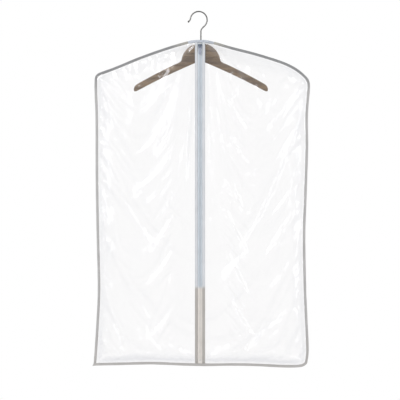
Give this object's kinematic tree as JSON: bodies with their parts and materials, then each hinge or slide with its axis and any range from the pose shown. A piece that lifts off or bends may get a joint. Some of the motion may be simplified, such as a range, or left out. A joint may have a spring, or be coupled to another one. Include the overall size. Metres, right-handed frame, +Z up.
{
  "type": "garment bag",
  "caption": "Clear film garment bag with folded edge binding and a full-length front zip, on a wooden hanger whose steel hook comes out of its open top.",
  "frame": {"origin": "the point inside the hook that rests on a rail, straight above the hook's stem", "axes": "+Z up, +X to the right seen from the front, and the zip side faces -Y"},
  "size_m": [0.6218, 0.0384, 1.0202],
  "materials": {
    "film": "clear and glossy, softly wrinkled",
    "grey_binding": "woven bias tape, folded and stitched",
    "pale_binding": "translucent folded film hem",
    "zip_tape": "thin woven tape",
    "zip_coil": "satin nylon",
    "zip_metal": "satin slate lacquer",
    "steel": "dull polished",
    "wood": "satin varnish"
  },
  "bodies": {
    "hook": {"hanger_hook": "steel", "hook_retaining_ring": "steel"},
    "bag": {"front_panel_left": "film", "front_panel_right": "film", "back_panel": "film", "edge_binding_left": "grey_binding", "edge_binding_foot_and_right": "grey_binding", "opening_binding_front": "pale_binding", "opening_binding_back": "pale_binding", "zip_binding_left": "grey_binding", "zip_binding_right": "grey_binding", "zip_tape_left": "zip_tape", "zip_tape_right": "zip_tape", "zip_coil_left": "zip_coil", "zip_coil_right": "zip_coil", "zip_top_stop_left": "zip_metal", "zip_top_stop_right": "zip_metal", "zip_foot_stop": "zip_metal", "hanger_arm_left": "wood", "hanger_arm_right": "wood", "hook_sleeve": "steel"},
    "slider": {"zip_slider": "zip_metal"},
    "pull": {"zip_pull": "zip_metal"}
  },
  "joints": [
    {"name": "hook_swivel", "type": "hinge", "parent": "hook", "child": "bag", "pos_m": [0, 0, -0.1], "axis": [0, 0, 1], "continuous": true},
    {"name": "slider_travel", "type": "slide", "parent": "bag", "child": "slider", "axis": [0, 0.0081, -1], "range_m": [0, 0.887]},
    {"name": "pull_swing", "type": "hinge", "parent": "slider", "child": "pull", "pos_m": [-0.0025, -0.0156, -0.09689], "axis": [-1, 0, 0], "range_deg": [0, 170]}
  ]
}
